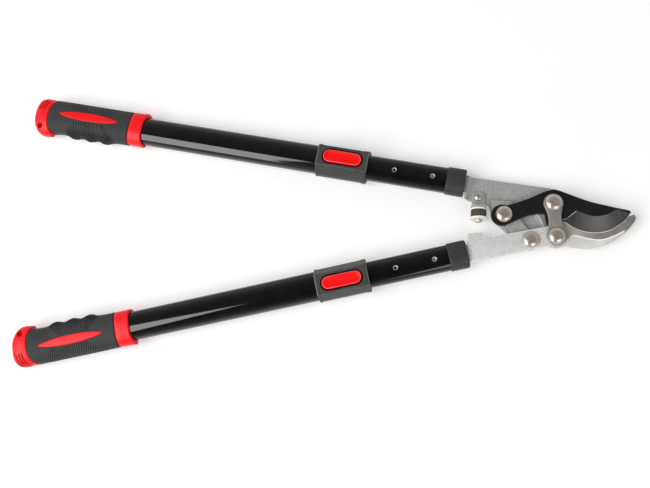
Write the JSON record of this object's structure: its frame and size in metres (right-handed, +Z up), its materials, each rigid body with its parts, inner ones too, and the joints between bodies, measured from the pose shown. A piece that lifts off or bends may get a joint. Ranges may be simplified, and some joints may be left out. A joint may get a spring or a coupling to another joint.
{
  "type": "telescopic lopper",
  "caption": "Two-handed bypass lopper with a compound cutting head, sliding handles locked by press buttons, and rubber-covered grips.",
  "frame": {"origin": "middle of the rectangle that the tool covers, on the surface it lies on", "axes": "+X from the grips to the blades, +Y to the upper handle's side, +Z up through the head's front face"},
  "size_m": [0.6852, 0.3224, 0.0315],
  "materials": {
    "black_coating": "satin black non-stick coating",
    "nickel": "bright nickel plate",
    "jaw_steel": "ground steel",
    "hammer_paint": "silver hammered paint",
    "zinc": "zinc plate",
    "brass": "yellow plated steel",
    "black_rubber": "soft matt rubber",
    "red_plastic": "satin moulded plastic",
    "black_plastic": "satin moulded plastic",
    "nylon": "moulded nylon",
    "tube_paint": "gloss black enamel",
    "spring_steel": "plain bright steel"
  },
  "bodies": {
    "lower_arm": {"lower_plate": "hammer_paint", "fulcrum_bolt": "nickel", "fulcrum_nut": "zinc", "lower_inner_tube": "tube_paint", "lower_tang_plug": "nylon", "lower_tang_pin": "spring_steel", "lower_ferrule": "black_plastic", "lower_end_plug": "nylon"},
    "upper_arm": {"upper_plate": "hammer_paint", "spacer_strap": "hammer_paint", "tail_bolt": "nickel", "tail_nut": "zinc", "buffer_bracket": "hammer_paint", "buffer_rivet": "nickel", "buffer_washer_inner": "zinc", "buffer_rubber": "black_rubber", "buffer_washer_outer": "zinc", "buffer_screw": "brass", "upper_inner_tube": "tube_paint", "upper_tang_plug": "nylon", "upper_tang_pin": "spring_steel", "upper_ferrule": "black_plastic", "upper_end_plug": "nylon"},
    "hook": {"hook_jaw": "jaw_steel", "link_strap": "nickel", "jaw_bolt": "nickel", "link_bolt": "nickel"},
    "blade": {"cutting_blade": "black_coating"},
    "upper_outer": {"upper_outer_tube": "tube_paint", "upper_lock_sleeve": "black_plastic", "upper_sleeve_screw": "zinc", "upper_button_pin": "spring_steel", "upper_button_spring": "spring_steel", "upper_grip_core": "red_plastic", "upper_grip_cover": "black_rubber"},
    "lower_outer": {"lower_outer_tube": "tube_paint", "lower_lock_sleeve": "black_plastic", "lower_sleeve_screw": "zinc", "lower_button_pin": "spring_steel", "lower_button_spring": "spring_steel", "lower_grip_core": "red_plastic", "lower_grip_cover": "black_rubber"},
    "upper_button": {"upper_release_button": "red_plastic", "upper_lock_pin": "spring_steel"},
    "lower_button": {"lower_release_button": "red_plastic", "lower_lock_pin": "spring_steel"}
  },
  "joints": [
    {"name": "handle_hinge", "type": "hinge", "parent": "lower_arm", "child": "upper_arm", "pos_m": [0.23283, -0.0268, 0.01391], "axis": [0, 0, -1], "range_deg": [-8, 55]},
    {"name": "hook_link", "type": "hinge", "parent": "lower_arm", "child": "hook", "pos_m": [0.25923, -0.0238, 0.01391], "axis": [0, 0, -1], "range_deg": [-9, 60]},
    {"name": "blade_hinge", "type": "hinge", "parent": "hook", "child": "blade", "pos_m": [0.25803, 0.0123, 0.01391], "axis": [0, 0, 1], "range_deg": [-4.5, 31]},
    {"name": "upper_telescope", "type": "slide", "parent": "upper_arm", "child": "upper_outer", "axis": [-0.9796, 0.2007, 0], "range_m": [-0.085, 0.2125]},
    {"name": "lower_telescope", "type": "slide", "parent": "lower_arm", "child": "lower_outer", "axis": [-0.9796, -0.2007, 0], "range_m": [-0.085, 0.2125]},
    {"name": "upper_release", "type": "hinge", "parent": "upper_outer", "child": "upper_button", "pos_m": [0.03231, 0.06685, 0.02831], "axis": [-0.2007, -0.9796, 0], "range_deg": [0, 6], "stiffness_Nm_per_rad": 0.3, "springref_deg": -2.86, "deforming": ["upper_button_spring"]},
    {"name": "lower_release", "type": "hinge", "parent": "lower_outer", "child": "lower_button", "pos_m": [0.03231, -0.06685, 0.02831], "axis": [0.2007, -0.9796, 0], "range_deg": [0, 6], "stiffness_Nm_per_rad": 0.3, "springref_deg": -2.86, "deforming": ["lower_button_spring"]}
  ],
  "couplings": [
    {"joint": "hook_link", "follows": "handle_hinge", "ratio": 1.087},
    {"joint": "blade_hinge", "follows": "handle_hinge", "ratio": 0.554}
  ]
}
